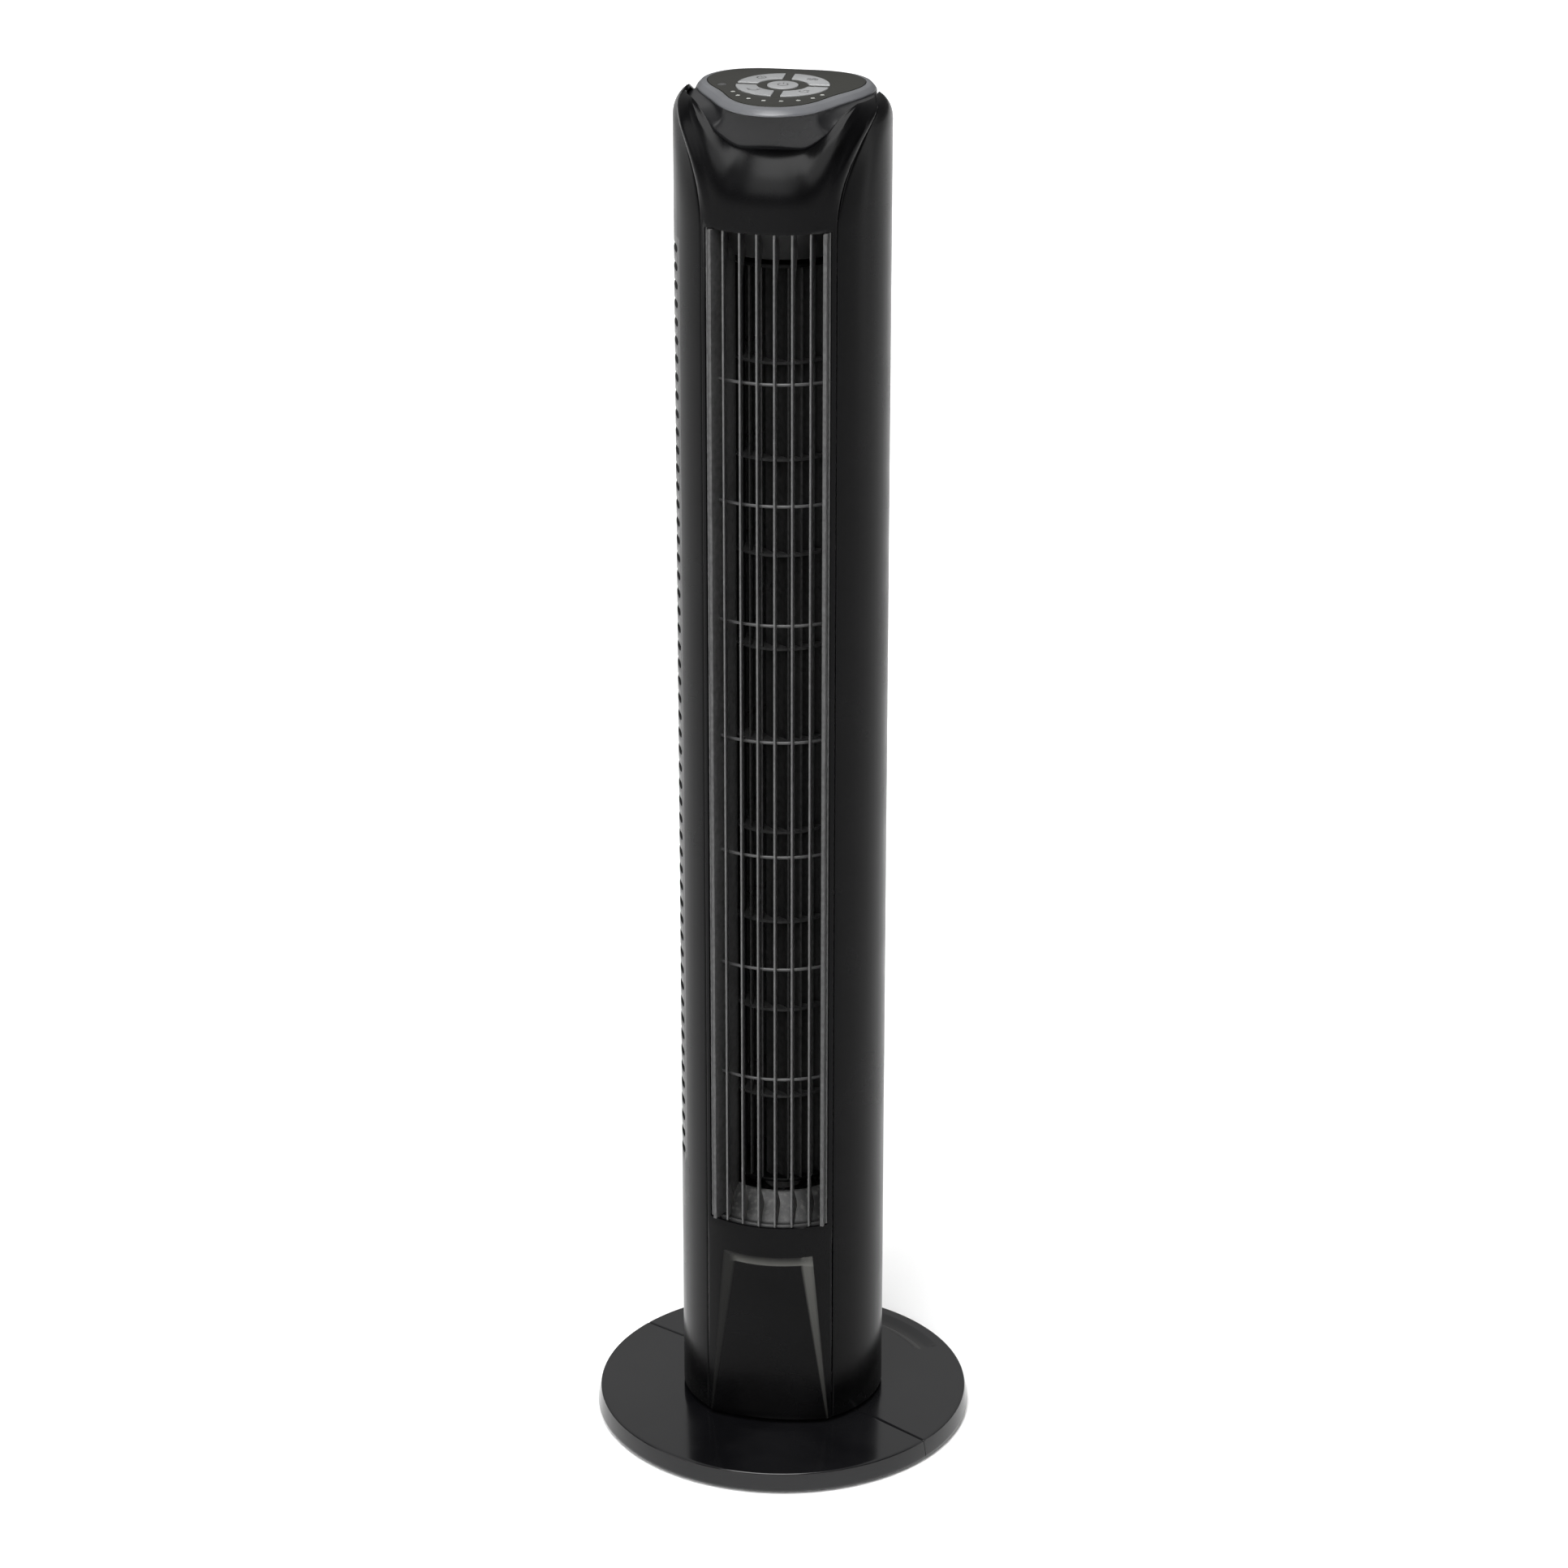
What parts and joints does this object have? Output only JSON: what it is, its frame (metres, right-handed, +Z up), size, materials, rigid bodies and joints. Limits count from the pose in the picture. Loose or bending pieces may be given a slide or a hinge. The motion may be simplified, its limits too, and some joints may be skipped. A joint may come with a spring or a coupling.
{
  "type": "tower fan",
  "caption": "Slim tower fan: barred front outlet, slotted rear shell and top control deck on a round base; the body swings, the impeller spins and the keys press.",
  "frame": {"origin": "point on the floor under the body's vertical axis, at the middle of the round base", "axes": "+Z up along the body; the fan blows towards -Y at rest; +X is on the right of someone facing the fan's front"},
  "size_m": [0.21, 0.21, 0.762],
  "materials": {
    "satin_black": "satin",
    "gloss_black": "gloss",
    "inner_black": "satin",
    "rim_grey": "satin",
    "key_grey": "satin",
    "lens": "frosted",
    "rubber": "matte",
    "steel": "brushed",
    "nylon": "natural",
    "bronze": "sintered",
    "board": "solder mask",
    "capacitor_can": "satin"
  },
  "bodies": {
    "base": {"base_front_half": "gloss_black", "base_rear_half": "gloss_black", "foot_1": "rubber", "foot_2": "rubber", "foot_3": "rubber", "foot_4": "rubber", "foot_5": "rubber", "foot_6": "rubber", "pivot_post": "nylon", "base_screw_1": "steel", "base_screw_2": "steel", "base_screw_3": "steel", "base_screw_4": "steel", "crank_yoke": "nylon", "swivel_washer": "nylon", "retaining_ring": "steel"},
    "tower": {"front_cover": "satin_black", "rear_cover": "satin_black", "outlet_grille": "inner_black", "cover_screw_1": "steel", "cover_screw_2": "steel", "cover_screw_3": "steel", "cover_screw_4": "steel", "cover_screw_5": "steel", "cover_screw_6": "steel", "duct_bottom": "inner_black", "duct_top": "inner_black", "air_guide": "inner_black", "cutoff_tongue": "inner_black", "bearing_mount": "rubber", "bearing_bush": "bronze", "main_motor": "steel", "floor_plate": "inner_black", "motor_plate": "steel", "run_capacitor": "capacitor_can", "cord_gland": "rubber", "swing_motor": "steel", "head_housing": "gloss_black", "deck_rim": "rim_grey", "control_panel": "gloss_black", "light_guide": "lens", "receiver_window": "lens", "circuit_board": "board", "tact_switch_1": "steel", "tact_switch_2": "steel", "tact_switch_3": "steel", "tact_switch_4": "steel", "tact_switch_5": "steel"},
    "rotor": {"impeller": "satin_black", "impeller_stub_shaft": "steel", "shaft_coupling": "rubber", "motor_shaft": "steel"},
    "crank": {"swing_motor_shaft": "steel", "swing_crank": "nylon"},
    "power_key": {"key_power": "key_grey"},
    "mode_key": {"key_mode": "key_grey"},
    "timer_key": {"key_timer": "key_grey"},
    "swing_key": {"key_swing": "key_grey"},
    "speed_key": {"key_speed": "key_grey"}
  },
  "joints": [
    {"name": "swing", "type": "hinge", "parent": "base", "child": "tower", "pos_m": [0, 0, 0.0301], "axis": [0, 0, 1], "range_deg": [-35, 35]},
    {"name": "impeller_spin", "type": "hinge", "parent": "tower", "child": "rotor", "pos_m": [0, 0, 0.154], "axis": [0, 0, 1], "continuous": true},
    {"name": "crank_turn", "type": "hinge", "parent": "tower", "child": "crank", "pos_m": [0, 0.024, 0.03], "axis": [0, 0, 1], "range_deg": [-92, 92]},
    {"name": "power_press", "type": "slide", "parent": "tower", "child": "power_key", "axis": [0, 0, -1], "range_m": [0, 0.0006], "stiffness_N_per_m": 800},
    {"name": "mode_press", "type": "slide", "parent": "tower", "child": "mode_key", "axis": [0, 0, -1], "range_m": [0, 0.0006], "stiffness_N_per_m": 800},
    {"name": "timer_press", "type": "slide", "parent": "tower", "child": "timer_key", "axis": [0, 0, -1], "range_m": [0, 0.0006], "stiffness_N_per_m": 800},
    {"name": "swing_press", "type": "slide", "parent": "tower", "child": "swing_key", "axis": [0, 0, -1], "range_m": [0, 0.0006], "stiffness_N_per_m": 800},
    {"name": "speed_press", "type": "slide", "parent": "tower", "child": "speed_key", "axis": [0, 0, -1], "range_m": [0, 0.0006], "stiffness_N_per_m": 800}
  ],
  "couplings": [
    {"joint": "crank_turn", "follows": "swing", "ratio": -2.5714}
  ]
}
